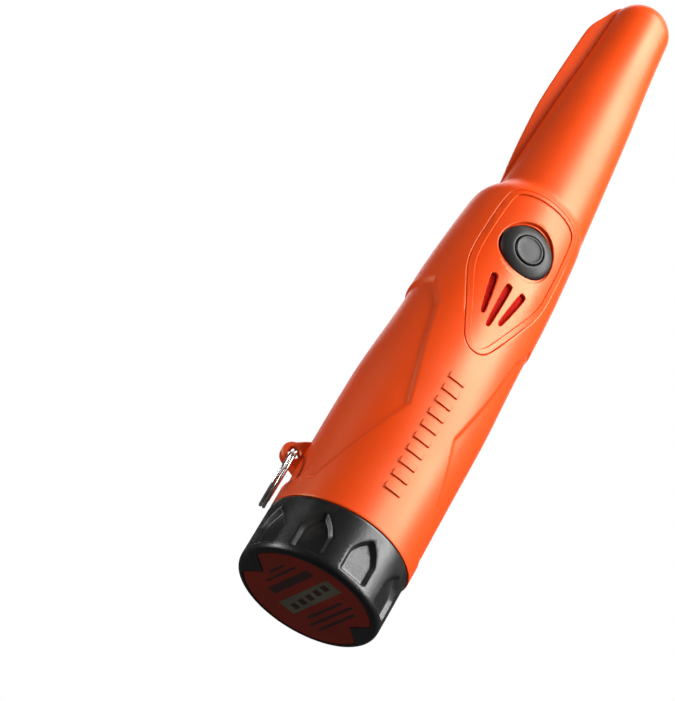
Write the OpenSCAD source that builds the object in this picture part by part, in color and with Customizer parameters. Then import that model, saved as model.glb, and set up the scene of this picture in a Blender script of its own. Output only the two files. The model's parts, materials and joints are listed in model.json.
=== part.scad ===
// Handheld pinpointer probe: a hollow tapered grip and a domed sensing tube
// in one moulded shell, with a scraper fin, a shield-shaped button panel,
// a screw cap over the battery, and a split ring on a side lug.
// Z runs along the probe. The flat rim of the cap lies at z = 0 and the
// domed tip is at the top. The button faces -Y. The fin is on the -X side.

/* [Shell] */
// Largest radius of the grip
grip_r = 21.3; // [21.1:0.1:22]
// Wall thickness of the grip
wall = 2.4; // [2.2:0.1:2.6]
// Length of the domed tube above its root
tube_len = 96.2; // [94:0.2:104]
// Radius of the tube where its dome begins
tip_r = 9.45; // [9.4:0.05:10]
// How far the tube's root is set off the grip's axis, away from the fin
tube_offset = 2.3; // [1.8:0.1:2.4]
// Angle of the fin and lug behind the -X side, in degrees
fin_angle = 13; // [5:1:20]
// Thickness of the scraper fin
fin_t = 3; // [2:0.2:4]
// Depth of the recessed side grips
grip_depth = 0.8; // [0.4:0.1:1]

/* [Panel] */
// Height of the button's centre above the cap rim
button_z = 121.5; // [121:0.1:122]
// Radius of the button's fixed rubber surround
button_r = 8.3; // [8:0.1:8.5]
// Radius of the raised disc that is pressed
disc_r = 4.4; // [3.8:0.1:4.4]
// Depth by which the panel's face is sunk inside its border
face_sink = 0.4; // [0.2:0.1:0.5]

/* [Cap] */
// Length of the cap that shows
cap_len = 18.1; // [18:0.1:18.2]
// Outer radius of the cap
cap_r = 20.8; // [20.6:0.1:21]
// Number of finger scallops around the cap
scallops = 9; // [7:1:10]
// Depth of each scallop
scallop_depth = 1.5; // [1:0.1:1.8]
// Thread pitch of the cap
pitch = 3; // [3:0.1:3.2]

/* [Ring] */
// Mean radius of the split ring
ring_r = 8.5; // [8:0.1:9]
// Radius of the ring's wire
wire_r = 0.5; // [0.4:0.05:0.55]

/* [Hidden] */
$fn = 96;

orange = [0.93, 0.28, 0.05];
black = [0.06, 0.06, 0.07];
steel = [0.75, 0.75, 0.77];
copper = [0.72, 0.4, 0.2];

joint_z = cap_len + 0.2;
bore_r = cap_r - 2.15;
plug_r = bore_r - 1.1;
plug_in = 16.2;
plug_top = 29;
root_z = 139;
lean = atan((tube_offset - 0.25) / (tube_len - 9.2));
lug_z = 35.3;
lug_r = 22.9;
board_y = 8.6;

// Height and outer radius of the grip, from the cap joint to the shoulder.
grip_pts = [[joint_z, grip_r - 0.5], [28.6, grip_r - 0.35],
    [50, grip_r - 0.05], [66, grip_r], [73, grip_r - 0.2],
    [80, grip_r - 0.6], [88, grip_r - 1.1], [97, grip_r - 1.5],
    [110, grip_r - 1.85], [120, grip_r - 2.4], [130, grip_r - 3.1],
    [136, grip_r - 3.6], [139.5, grip_r - 4.1], [142.2, grip_r - 5],
    [144.6, grip_r - 6.7], [147, grip_r - 8.7]];

// Height above the tube's root and outer radius of the tube.
tube_pts = [[-12, 15.85], [0, 15.2], [11, 14.55], [30, 13.4], [50, 12.1],
    [66, 10.75], [78, 9.95], [tube_len - tip_r + 0.25, tip_r]];

// Right half of the panel's outline as x and z, from the top to the foot.
shield_half = [[4, 141.3], [7, 141], [9.5, 140.3], [11.2, 139.2],
    [12.2, 137.4], [12.8, 133], [13.4, 124], [13.6, 115], [13.3, 110],
    [12.4, 105.6], [10.6, 100.6], [8.7, 95.2], [7, 90.5], [5.3, 86],
    [4.2, 83.6], [2.8, 81.9], [1.3, 81.1]];
shield_n = len(shield_half);
shield_pts = concat([[0, 141.4]], shield_half, [[0, 81]],
    [for (i = [1 : shield_n]) let (p = shield_half[shield_n - i]) [-p[0], p[1]]]);

function grip_at(z) = lookup(z, grip_pts);

function grip_profile(d, z0, z1) = concat(
    [[0, z0], [grip_at(z0) - d, z0]],
    [for (p = grip_pts) if (p[0] > z0 && p[0] < z1) [p[1] - d, p[0]]],
    [[grip_at(z1) - d, z1], [0, z1]]);

function tube_profile(d, s0) = let (top = tube_len - tip_r + 0.25) concat(
    [[0, s0], [lookup(s0, tube_pts) - d, s0]],
    [for (p = tube_pts) if (p[0] > s0) [p[1] - d, p[0]]],
    [for (a = [9 : 9 : 81]) [(tip_r - d) * cos(a), top + (tip_r - 0.25 - d) * sin(a)]],
    [[0, top + tip_r - 0.25 - d]]);

// Outline moved outwards by g along each corner's normal.
function grown(pts, g) = let (n = len(pts)) [for (i = [0 : n - 1])
    let (a = pts[(i + n - 1) % n], b = pts[(i + 1) % n], d = (b - a) / norm(b - a))
    pts[i] + g * [-d[1], d[0]]];

// Shell of the grip between two depths below its surface.
module grip_skin(d0, d1, z0, z1) {
    difference() {
        rotate_extrude() polygon(grip_profile(d0, z0, z1));
        rotate_extrude() polygon(grip_profile(d1, z0 - 0.01, z1 + 0.01));
    }
}

// Solid that stands out from the axis towards -Y over an x-z outline.
module front_prism(pts, depth = 30) {
    rotate([90, 0, 0]) linear_extrude(height = depth) polygon(pts);
}

// Frame of the tube, which leans back onto the grip's axis at the tip.
module on_tube() {
    rotate([0, 0, -fin_angle]) translate([tube_offset, 0, root_z])
        rotate([0, -lean, 0]) children();
}

// Frame of the button, with its z axis pointing out of the panel.
module on_button() {
    translate([0, 0, button_z]) rotate([90, 0, 0]) children();
}

// Ridge or wire swept along a helix. section is a closed r-z outline.
module helix(section, z0, rise, turns, steps) {
    m = len(section);
    n = ceil(turns * steps);
    points = [for (i = [0 : n]) for (p = section)
        let (a = 360 * turns * i / n)
        [p[0] * cos(a), p[0] * sin(a), z0 + p[1] + rise * turns * i / n]];
    sides = [for (i = [0 : n - 1]) for (j = [0 : m - 1]) for (h = [0, 1])
        let (a = i * m + j, b = i * m + (j + 1) % m)
        h == 0 ? [a, b, b + m] : [a, b + m, a + m]];
    first = [for (j = [0 : m - 1]) m - 1 - j];
    last = [for (j = [0 : m - 1]) n * m + j];
    polyhedron(points = points, faces = concat([first], [last], sides));
}

module main_housing() {
    color(orange) {
        difference() {
            union() {
                rotate_extrude() polygon(grip_profile(0, joint_z, 147));
                on_tube() rotate_extrude() polygon(tube_profile(0, -12));
                fin();
                lug();
            }
            housing_cavity();
            panel_pocket();
            side_grips();
        }
        helix([[bore_r + 0.3, 0.75], [bore_r - 0.7, 0.3], [bore_r - 0.7, -0.3],
            [bore_r + 0.3, -0.75]], 23.3, pitch, 1.5, 24);
    }
}

module fin() {
    outline = [[-8, 146], [-12.5, 148.5], [-14.75, 169.5], [-15.4, 184],
        [-14.7, 208], [-14.15, 218], [-11.9, 224.2], [-9.2, 230], [-6, 230]];
    rotate([0, 0, -fin_angle]) translate([0, fin_t / 2, 0])
        front_prism(outline, fin_t);
}

module lug() {
    rotate([0, 0, -fin_angle]) {
        difference() {
            translate([0, 1.6, 0]) union() {
                front_prism([[-18.5, 29.5], [-22.9, 31.8], [-22.9, 38.8], [-18.5, 42]], 3.2);
                translate([-lug_r, 0, lug_z]) rotate([90, 0, 0]) cylinder(r = 3.5, h = 3.2);
            }
            translate([-lug_r, 3, lug_z]) rotate([90, 0, 0]) cylinder(r = 1.7, h = 6);
        }
    }
}

module housing_cavity() {
    translate([0, 0, joint_z - 1]) cylinder(r = bore_r, h = 31 - joint_z);
    rotate_extrude() polygon(grip_profile(wall, 30, 137.5));
    on_tube() rotate_extrude() polygon(tube_profile(2, -5));
}

module panel_pocket() {
    intersection() {
        grip_skin(-2, 1.6, 76, 146.5);
        front_prism(shield_pts);
    }
    intersection() {
        grip_skin(-2, 4, 76, 146.5);
        front_prism(grown(shield_pts, -1.7));
    }
}

// Six-sided recess on each side, which leaves an hourglass spine in front.
module side_grips() {
    side = [[-19.7, 55.3], [-14.6, 91.6], [-9, 101], [9, 101], [14.6, 91.6],
        [19.7, 55.3], [15.2, 34.6], [10, 24.5], [-10, 24.5], [-15.2, 34.6]];
    intersection() {
        difference() {
            grip_skin(-2, grip_depth, 22, 104);
            lug();
        }
        translate([-30, 0, 0]) rotate([90, 0, 90]) linear_extrude(height = 60) polygon(side);
    }
}

module control_panel() {
    color(orange) difference() {
        intersection() {
            grip_skin(0, 1.3, 76, 144);
            front_prism(grown(shield_pts, -0.15));
        }
        intersection() {
            grip_skin(-1, face_sink, 76, 146);
            front_prism(grown(shield_pts, -1.9));
        }
        on_button() translate([0, 0, 14]) cylinder(r = button_r + 0.3, h = 8);
        on_button() translate([0, 0, 15]) cylinder(r1 = button_r + 0.3, r2 = button_r + 1.9, h = 4.5);
        for (s = [-1, 1]) front_prism([[s * 3.9, 107.9], [s * 2.3, 94.9],
            [s * 2.7, 94.1], [s * 3.5, 94], [s * 6.3, 107.5], [s * 5.9, 108.2], [s * 4.5, 108.4]]);
        front_prism([[-1.2, 106.6], [-0.7, 92], [-0.3, 91.2], [0.3, 91.2],
            [0.7, 92], [1.2, 106.6], [0.7, 107.4], [-0.7, 107.4]]);
    }
}

module panel_gasket() {
    color(black) intersection() {
        grip_skin(1.3, 1.6, 76, 144);
        difference() {
            front_prism(grown(shield_pts, -0.3));
            front_prism(grown(shield_pts, -1.7), 31);
        }
    }
}

module button_boot() {
    color(black) on_button() difference() {
        rotate_extrude() polygon([[button_r - 1.2, board_y], [button_r, board_y],
            [button_r, 13.2], [button_r + 1.2, 13.2], [button_r + 1.2, 14.2],
            [button_r, 14.2], [button_r, 16.6], [button_r - 0.4, 17.4],
            [button_r - 1.8, 18.1], [disc_r + 0.35, 18.4], [disc_r + 0.35, 17.2],
            [button_r - 1.2, 16.2]]);
        translate([0, 0, 7]) cube([3, 30, 3.2], center = true);
    }
}

module button_cap() {
    color(black) on_button() rotate_extrude() polygon([[0, 13.15], [1.6, 13.15],
        [1.6, 16.6], [disc_r, 16.6], [disc_r, 18.6], [disc_r - 0.25, 18.95],
        [disc_r - 0.8, 19.1], [0, 19.2]]);
}

module tact_switch() {
    color([0.2, 0.2, 0.22]) on_button() difference() {
        translate([-3, -3, board_y]) cube([6, 6, 3.5]);
        translate([0, 0, 9.3]) cylinder(r = 1.8, h = 4);
    }
}

module switch_plunger() {
    color([0.8, 0.78, 0.7]) on_button() translate([0, 0, 10.2]) cylinder(r = 1.75, h = 2.9);
}

module sounder() {
    color([0.12, 0.12, 0.13]) translate([0, 0, 100]) rotate([90, 0, 0]) difference() {
        translate([0, 0, board_y]) cylinder(r = 6, h = 6);
        translate([0, 0, 13]) cylinder(r = 1, h = 3);
    }
}

module sounder_mesh() {
    color([0.55, 0.04, 0.03]) intersection() {
        grip_skin(1.35, 1.6, 88, 110);
        front_prism(grown(shield_pts, -2));
    }
}

module chassis() {
    color([0.85, 0.85, 0.82]) difference() {
        union() {
            difference() {
                translate([0, 0, 31.5]) cylinder(r = 17.7, h = 30.5);
                translate([0, 0, 31]) cylinder(r = 16.3, h = 29.5);
            }
            battery_guides();
            translate([-12, 6.2, 61]) cube([24, 1.8, 71]);
            for (s = [-1, 1]) translate([s * 11.3 - 0.7, -board_y + 1.6, 61]) cube([1.4, 14, 71]);
            for (x = [-8.4, 8.4]) for (z = [67, 130])
                translate([x, 7, z]) rotate([90, 0, 0]) cylinder(r = 2.3, h = 5.4 + board_y);
        }
        for (x = [-8.4, 8.4]) for (z = [67, 130])
            translate([x, 5, z]) rotate([90, 0, 0]) cylinder(r = 1.15, h = 20);
        for (s = [-1, 1]) translate([s * 6.35, 0, 60]) cylinder(r = 3.4, h = 3);
        translate([0, -8, 60]) cylinder(r = 1.5, h = 3);
    }
}

module battery_guides() {
    intersection() {
        translate([0, 0, 31.5]) cylinder(r = 17, h = 29.5);
        union() {
            for (x = [-10, 8.5]) for (y = [-17, 9]) translate([x, y, 31]) cube([1.5, 8, 30]);
            for (x = [-18, 13.5]) for (y = [-5, 3.5]) translate([x, y, 31]) cube([4.5, 1.5, 30]);
        }
    }
}

module circuit_board() {
    color([0.05, 0.33, 0.14]) difference() {
        translate([-12, -board_y, 63]) cube([24, 1.6, 70]);
        for (x = [-8.4, 8.4]) for (z = [67, 130])
            translate([x, 0, z]) rotate([90, 0, 0]) cylinder(r = 1.25, h = 20);
    }
}

module board_screws() {
    color(steel) for (x = [-8.4, 8.4]) for (z = [67, 130])
        translate([x, 0, z]) rotate([90, 0, 0]) difference() {
            union() {
                translate([0, 0, -1]) cylinder(r = 1.1, h = board_y + 1.2);
                translate([0, 0, board_y]) cylinder(r = 2.1, h = 1.3);
            }
            translate([-1.6, -0.25, board_y + 0.7]) cube([3.2, 0.5, 1]);
            translate([-0.25, -1.6, board_y + 0.7]) cube([0.5, 3.2, 1]);
        }
}

module microcontroller() {
    color([0.1, 0.1, 0.1]) translate([-4.5, -board_y - 1.5, 76]) cube([9, 1.5, 9]);
}

module capacitors() {
    color([0.15, 0.2, 0.35]) for (p = [[-6, 96], [0, 102], [6, 96]])
        translate([p[0], 1 - board_y + 0.6, p[1]]) rotate([-90, 0, 0]) cylinder(r = 2.4, h = 8);
}

module coil_plug() {
    color([0.9, 0.88, 0.8]) translate([-5.5, -7, 125]) cube([11, 4.2, 7.6]);
}

module coil_leads() {
    color([0.75, 0.1, 0.08]) on_tube() for (x = [-5.2, -2.6, 0, 2.6])
        translate([x, -5.9, -5.8]) cylinder(r = 0.45, h = 66);
}

module ferrite_rod() {
    color([0.2, 0.19, 0.19]) on_tube() translate([0, 0, 26]) cylinder(r = 4, h = 61.5);
}

module coil_bobbin() {
    color([0.88, 0.88, 0.85]) on_tube() difference() {
        union() {
            translate([0, 0, 26]) cylinder(r = 5.1, h = 61);
            translate([0, 0, 26]) cylinder(r = 11.2, h = 2.5);
            for (s = [60.5, 73, 86]) translate([0, 0, s]) cylinder(r = 7.2, h = 1);
        }
        translate([0, 0, 25]) cylinder(r = 4.05, h = 63);
        for (x = [-5.2, -2.6, 0, 2.6]) translate([x, -5.9, 25]) cylinder(r = 0.7, h = 4);
    }
}

module coil_winding(s0, h) {
    color(copper) on_tube() translate([0, 0, s0]) difference() {
        cylinder(r = 6.9, h = h);
        translate([0, 0, -1]) cylinder(r = 5.15, h = h + 2);
    }
}

module transmit_coil() {
    coil_winding(61.7, 11);
}

module sense_coil() {
    coil_winding(74.2, 11.6);
}

module tip_cushion() {
    color([0.25, 0.25, 0.27]) on_tube() translate([0, 0, 87.7]) cylinder(r = 5.6, h = 2.8);
}

module vibration_motor() {
    color(steel) difference() {
        union() {
            translate([0, 2.5, 70]) cylinder(r = 3.5, h = 12);
            translate([0, 2.5, 82]) cylinder(r = 1.6, h = 0.8);
        }
        translate([0, 2.5, 76]) cylinder(r = 0.8, h = 8);
    }
}

module motor_shaft() {
    color(steel) translate([0, 2.5, 76.5]) cylinder(r = 0.75, h = 11);
}

module motor_weight() {
    color([0.55, 0.55, 0.57]) translate([0, 2.5, 83.4]) difference() {
        union() {
            cylinder(r = 1.5, h = 4.1);
            intersection() {
                cylinder(r = 3.1, h = 4.1);
                translate([-4, 0, 0]) cube([8, 4, 5]);
            }
        }
        translate([0, 0, -1]) cylinder(r = 0.75, h = 7);
    }
}

module contact_blocks() {
    color([0.83, 0.68, 0.35]) for (s = [-1, 1]) translate([s * 6.35, 0, 60.9])
        cylinder(r = 3.3, h = 1.1);
}

module contact_springs() {
    section = [for (a = [0 : 60 : 300]) [2.3 + 0.35 * cos(a), 0.35 * sin(a)]];
    color(steel) for (s = [-1, 1]) translate([s * 6.35, 0, 0])
        helix(section, 54.9, 1.27, 4.4, 20);
}

// Cross-section of the nine-volt block, shrunk by d on every side.
module battery_outline(d) {
    square([26.5 - 2 * d, 13.5], center = true);
    square([22.5, 17.5 - 2 * d], center = true);
    for (x = [-11.25, 11.25]) for (y = [-6.75, 6.75]) translate([x, y]) circle(r = 2 - d);
}

module battery_can() {
    color([0.16, 0.16, 0.18]) translate([0, 0, 5]) linear_extrude(height = 46.4) difference() {
        battery_outline(0);
        battery_outline(0.5);
    }
}

module battery_cells() {
    color([0.1, 0.1, 0.11]) translate([0, 0, 5.2]) linear_extrude(height = 46)
        battery_outline(0.55);
}

module battery_terminals() {
    color(steel) {
        translate([-6.35, 0, 51.4]) cylinder(r = 2.9, h = 3);
        translate([6.35, 0, 51.4]) difference() {
            cylinder(r = 4, h = 3);
            translate([0, 0, 1]) cylinder(r = 3, h = 3);
            translate([-0.4, -5, 1]) cube([0.8, 10, 3]);
            translate([-5, -0.4, 1]) cube([10, 0.8, 3]);
        }
    }
}

module label_outline(r) {
    rotate(-9) difference() {
        circle(r = r);
        polygon([[r - 5.2, 0], [r + 6, 11.2], [r + 6, -11.2]]);
        polygon([[5.2 - r, 0], [-r - 6, -11.2], [-r - 6, 11.2]]);
    }
}

module end_cap() {
    color(black) {
        difference() {
            rotate_extrude() polygon([[0, 0], [cap_r - 1.5, 0], [cap_r - 0.6, 0.4],
                [cap_r - 0.15, 1.1], [cap_r, 2], [cap_r, cap_len - 0.3],
                [cap_r - 0.3, cap_len], [plug_r, cap_len], [plug_r, plug_top - 0.5],
                [plug_r - 0.5, plug_top], [0, plug_top]]);
            translate([0, 0, 3]) cylinder(r = plug_in, h = plug_top);
            translate([0, 0, -1]) linear_extrude(height = 1.4) label_outline(18.9);
            rotate_extrude() translate([plug_r - 0.65, cap_len + 0.5]) square([2, 2]);
            for (i = [0 : scallops - 1]) rotate([0, 0, 6.8 + i * 360 / scallops])
                translate([0, -(cap_r - scallop_depth), 0])
                front_prism([[-4.35, 2.3], [4.35, 2.3], [4.35, 9], [2.7, 11.8],
                    [0, 14.6], [-2.7, 11.8], [-4.35, 9]], 5);
        }
        helix([[plug_r - 0.3, -0.75], [plug_r + 0.65, -0.3], [plug_r + 0.65, 0.3],
            [plug_r - 0.3, 0.75]], 21.8, pitch, 2, 24);
    }
}

module cap_pad() {
    color([0.25, 0.25, 0.27]) translate([0, 0, 3]) cylinder(r = 13.5, h = 1.9);
}

module cap_seal() {
    color([0.1, 0.1, 0.1]) rotate_extrude()
        translate([plug_r + 0.2, cap_len + 1.5]) circle(r = 0.85, $fn = 24);
}

module cap_label() {
    color([0.8, 0.2, 0.12]) translate([0, 0, 0.1]) linear_extrude(height = 0.3) label_outline(18.7);
}

module split_ring() {
    color(steel) rotate([0, 0, -fin_angle]) translate([-lug_r, 0, lug_z - ring_r])
        rotate([0, 90, 0]) for (s = [-1, 1])
        translate([0, 0, s * (wire_r - 0.01)]) rotate_extrude()
        translate([ring_r, 0]) circle(r = wire_r, $fn = 24);
}

main_housing();
control_panel();
panel_gasket();
button_boot();
button_cap();
tact_switch();
switch_plunger();
sounder();
sounder_mesh();
chassis();
circuit_board();
board_screws();
microcontroller();
capacitors();
coil_plug();
coil_leads();
ferrite_rod();
coil_bobbin();
transmit_coil();
sense_coil();
tip_cushion();
vibration_motor();
motor_shaft();
motor_weight();
contact_blocks();
contact_springs();
battery_can();
battery_cells();
battery_terminals();
end_cap();
cap_pad();
cap_seal();
cap_label();
split_ring();
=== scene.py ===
import json
import math

import bmesh
import bpy
import numpy as np
from mathutils import Matrix, Vector
from mathutils.geometry import delaunay_2d_cdt


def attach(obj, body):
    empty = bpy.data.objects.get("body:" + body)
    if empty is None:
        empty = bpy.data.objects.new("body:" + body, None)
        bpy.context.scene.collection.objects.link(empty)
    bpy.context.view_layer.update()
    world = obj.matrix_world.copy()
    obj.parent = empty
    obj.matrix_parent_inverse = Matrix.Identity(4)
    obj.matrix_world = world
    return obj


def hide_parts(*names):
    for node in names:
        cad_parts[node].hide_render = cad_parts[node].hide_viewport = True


# Lengths are in millimetres up to the moment a mesh is made, and in metres for the camera, the
# lights and the floor. Angles around the probe run from -Y, where the button faces, towards +X.

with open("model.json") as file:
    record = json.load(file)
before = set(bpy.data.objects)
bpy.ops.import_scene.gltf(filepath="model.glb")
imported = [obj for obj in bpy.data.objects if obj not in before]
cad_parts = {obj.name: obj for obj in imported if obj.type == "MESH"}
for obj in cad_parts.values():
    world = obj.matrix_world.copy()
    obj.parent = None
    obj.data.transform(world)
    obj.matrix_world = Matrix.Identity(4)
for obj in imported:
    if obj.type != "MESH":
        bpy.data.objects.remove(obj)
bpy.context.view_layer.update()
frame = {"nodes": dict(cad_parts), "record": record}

MM = 0.001
FIN_ANGLE = math.radians(13)
AWAY = np.array([math.cos(FIN_ANGLE), -math.sin(FIN_ANGLE)])  # x and y, away from the fin
ACROSS = np.array([math.sin(FIN_ANGLE), math.cos(FIN_ANGLE)])
MOUTH_Z, GRIP_TOP = 18.3, 150.0  # where the grip's surface starts and ends
ROOT_Z = 139.0
TUBE_OFFSET, TUBE_SLOPE = 2.3, 2.05 / 87  # the tube's axis: its offset at ROOT_Z, and its slope
DOME_Z, DOME_H, TIP_R = 226.0, 9.15, 9.45
WALL, BORE_R = 2.2, 18.65
BUTTON_Z, BUTTON_COLUMNS = 121.5, 96
EYE_R, EYE_Z, EYE_HOLE = 22.9, 35.3, 1.7  # the lug's hole: distance from the axis, height, radius
CAP_R, PLUG_R = 20.8, 17.55


# ---------------------------------------------------------------- curves

def smooth_curve(points):
    """A monotone cubic through (place, value) pairs, as a function of an array."""
    x, y = np.array(points, float).T
    h = np.diff(x)
    d = np.diff(y) / h
    m = np.concatenate([[d[0]], np.zeros(len(x) - 2), [d[-1]]])
    for i in range(1, len(x) - 1):
        if d[i - 1] * d[i] > 0:
            w1, w2 = 2 * h[i] + h[i - 1], h[i] + 2 * h[i - 1]
            m[i] = (w1 + w2) / (w1 / d[i - 1] + w2 / d[i])

    def at(q):
        q = np.clip(q, x[0], x[-1])
        i = np.clip(np.searchsorted(x, q, side="right") - 1, 0, len(h) - 1)
        t = (q - x[i]) / h[i]
        return (((2 * t - 3) * t * t + 1) * y[i] + ((t - 2) * t + 1) * t * h[i] * m[i]
                + (3 - 2 * t) * t * t * y[i + 1] + (t - 1) * t * t * h[i] * m[i + 1])
    return at


def smooth_step(lo, hi, q):
    """Rises from 0 at lo to 1 at hi, level at both ends."""
    t = np.clip((q - lo) / (hi - lo), 0, 1)
    return t * t * (3 - 2 * t)


def smooth_max(a, b, k):
    """The larger of two values, blended where they differ by less than k."""
    h = np.clip(0.5 + 0.5 * (a - b) / k, 0, 1)
    return b + (a - b) * h + k * h * (1 - h)


def chaikin(loop, times=2):
    """A closed polygon with its corners cut, again and again."""
    p = np.array(loop, float)
    for _ in range(times):
        q = np.roll(p, -1, axis=0)
        p = np.stack([0.75 * p + 0.25 * q, 0.25 * p + 0.75 * q], 1).reshape(-1, 2)
    return p


def resample(loop, step):
    """A closed polygon walked in equal steps of about that length."""
    p = np.vstack([loop, loop[:1]])
    along = np.concatenate([[0], np.cumsum(np.linalg.norm(np.diff(p, axis=0), axis=1))])
    n = max(8, int(round(along[-1] / step)))
    at = np.linspace(0, along[-1], n, endpoint=False)
    return np.stack([np.interp(at, along, p[:, k]) for k in (0, 1)], 1)


def grown(loop, g, step=0.5):
    """A closed polygon, anticlockwise, moved outwards by g (inwards below zero)."""
    p = resample(np.array(loop, float), 0.2)
    d = np.roll(p, -1, axis=0) - np.roll(p, 1, axis=0)
    n = np.stack([d[:, 1], -d[:, 0]], 1) / np.linalg.norm(d, axis=1)[:, None]
    moved = p + g * n
    gap = np.linalg.norm(moved[:, None] - p[None], axis=2).min(1)
    return resample(moved[gap > abs(g) - 0.03], step)


def anticlockwise(loop):
    """The same polygon, walked anticlockwise."""
    p = np.array(loop, float)
    x, y = p.T
    area = np.sum(x * np.roll(y, -1) - np.roll(x, -1) * y)
    return p if area > 0 else p[::-1]


def inside(points, loop):
    """Which of the points lie in a closed polygon."""
    p, a, b = points[:, None], loop[None], np.roll(loop, -1, axis=0)[None]
    cross = (a[..., 1] > p[..., 1]) != (b[..., 1] > p[..., 1])
    rise = np.where(b[..., 1] == a[..., 1], 1, b[..., 1] - a[..., 1])
    x = a[..., 0] + (b[..., 0] - a[..., 0]) * (p[..., 1] - a[..., 1]) / rise
    return (cross & (p[..., 0] < x)).sum(1) % 2 == 1


def filling(outer, holes, loops, step, clear):
    """Points of a staggered grid inside outer, outside holes, clear of every loop."""
    lo, hi = outer.min(0), outer.max(0)
    row = 0.87 * step  # the height of a triangle with sides of that step
    xs, zs = np.arange(lo[0], hi[0], step), np.arange(lo[1], hi[1], row)
    g = np.array([[x + (k % 2) * step / 2, z] for k, z in enumerate(zs) for x in xs])
    ok = inside(g, outer)
    for h in holes:
        ok &= ~inside(g, h)
    g = g[ok]
    edge = np.vstack(loops)
    return g[np.linalg.norm(g[:, None] - edge[None], axis=2).min(1) > clear]


def triangles(loops, spots, outer, holes):
    """Triangles over the region inside outer and outside holes, which keep to every loop.
    Returns them with their middles."""
    points, edges = [], []
    for loop in loops:
        s, n = len(points), len(loop)
        points += [Vector(p) for p in loop]
        edges += [(s + i, s + (i + 1) % n) for i in range(n)]
    points += [Vector(p) for p in spots]
    made = delaunay_2d_cdt(points, edges, [], 0, 1e-7)
    source = [o[0] if o else -1 for o in made[3]]
    faces = [[source[i] for i in f] for f in made[2]]
    flat = np.array([[p.x, p.y] for p in points])
    mid = np.array([flat[f].mean(0) for f in faces])
    ok = inside(mid, outer)
    for h in holes:
        ok &= ~inside(mid, h)
    ok &= np.array([-1 not in f for f in faces])  # -1 is a crossing of two loops
    a, b, c = (flat[[f[k] for f in faces]] for k in range(3))
    twice_area = np.abs((b - a)[:, 0] * (c - a)[:, 1] - (b - a)[:, 1] * (c - a)[:, 0])
    ok &= twice_area > 1e-4  # three corners in line, to single precision
    return [f for f, k in zip(faces, ok) if k], mid[ok]


# ---------------------------------------------------------------- the shell's surface

grip_profile = smooth_curve([
    (MOUTH_Z, CAP_R), (28.6, 20.95), (40, 21.12), (50, 21.25), (58, 21.3), (66, 21.3),
    (73, 21.1), (80, 20.7), (88, 20.2), (97, 19.8), (110, 19.45), (120, 18.9),
    (130, 18.2), (136, 17.7), (139.5, 17.25), (141.6, 16.55), (143.4, 15.5),
    (145.2, 14.1), (147, 12.6), (GRIP_TOP, 9.4)])
tube_profile = smooth_curve([
    (120, 16.0), (139, 15.2), (150, 14.55), (169, 13.4), (189, 12.1), (205, 10.75),
    (217, 9.95), (DOME_Z, TIP_R)])


def tube_radius(z, depth):
    """The tube's radius, sunk in by depth and closed by a dome."""
    rise = np.clip((z - DOME_Z) / (DOME_H - depth), 0, 1)
    return (tube_profile(z) - depth) * np.sqrt(1 - rise * rise)


# Outline of the recess for the fingers on each side: distance round the surface from the
# side's middle, and height.
RECESS = [(24.9, 55.3), (16.4, 91.6), (10.5, 101), (-10.5, 101), (-16.4, 91.6),
          (-24.9, 55.3), (-16, 34.6), (-11, 24.5), (11, 24.5), (16, 34.6)]
RECESS_DEPTH, RECESS_SLOPE, RECESS_R = 0.8, 1.5, 20.6  # R turns its angles into distances


def recess(theta, z):
    """How deep the recesses are at an angle and height."""
    around = RECESS_R * (np.abs((theta + np.pi) % (2 * np.pi) - np.pi) - np.pi / 2)
    p = anticlockwise(RECESS)
    far = np.full(np.shape(around), -1e3)
    for a, b in zip(p, np.roll(p, -1, axis=0)):
        d = (b - a) / np.linalg.norm(b - a)
        far = np.maximum(far, (around - a[0]) * d[1] - (z - a[1]) * d[0])
    return RECESS_DEPTH * smooth_step(0, RECESS_SLOPE, -far)


def reach(e, d, radius):
    """How far a ray runs along d before it leaves a circle whose centre is at e, or a
    length far behind its start if it misses."""
    b = (e * d).sum(-1)
    inner = radius ** 2 - ((e * e).sum(-1) - b * b)
    return np.where((radius > 0) & (inner > 0), b + np.sqrt(np.maximum(inner, 0)), -50)


def skin(theta, z, depth=0.0, carve=True):
    """Points of the shell's surface at an angle and height, sunk in by depth. The angle is
    round the grip's axis, and higher up round the tube's."""
    theta, z, depth = np.broadcast_arrays(*(np.array(a, float) for a in (theta, z, depth)))
    d = np.stack([np.sin(theta), -np.cos(theta)], -1)
    centre = (TUBE_OFFSET - (z - ROOT_Z) * TUBE_SLOPE)[..., None] * AWAY
    eye = smooth_step(142, GRIP_TOP, z)[..., None] * centre
    grip = grip_profile(z) - depth - (recess(theta, z) if carve else 0)
    grip = np.where(z > GRIP_TOP - 0.1, -1, grip)
    far = smooth_max(reach(-eye, d, grip), reach(centre - eye, d, tube_radius(z, depth)), 1.5)
    xy = eye + far[..., None] * d
    return np.concatenate([xy, z[..., None]], -1)


def front(x, z, depth=0.0):
    """Points of the surface in front of x and z, seen along the button's axis."""
    x, z = np.array(x, float), np.array(z, float)
    theta = np.arcsin(np.clip(x / 19, -1, 1))
    for _ in range(12):
        p = skin(theta, z, depth, carve=False)
        far = np.hypot(p[..., 0], p[..., 1])
        theta = np.arcsin(np.clip(x / far, -1, 1))
    return skin(theta, z, depth, carve=False)


# ---------------------------------------------------------------- mesh building

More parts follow.
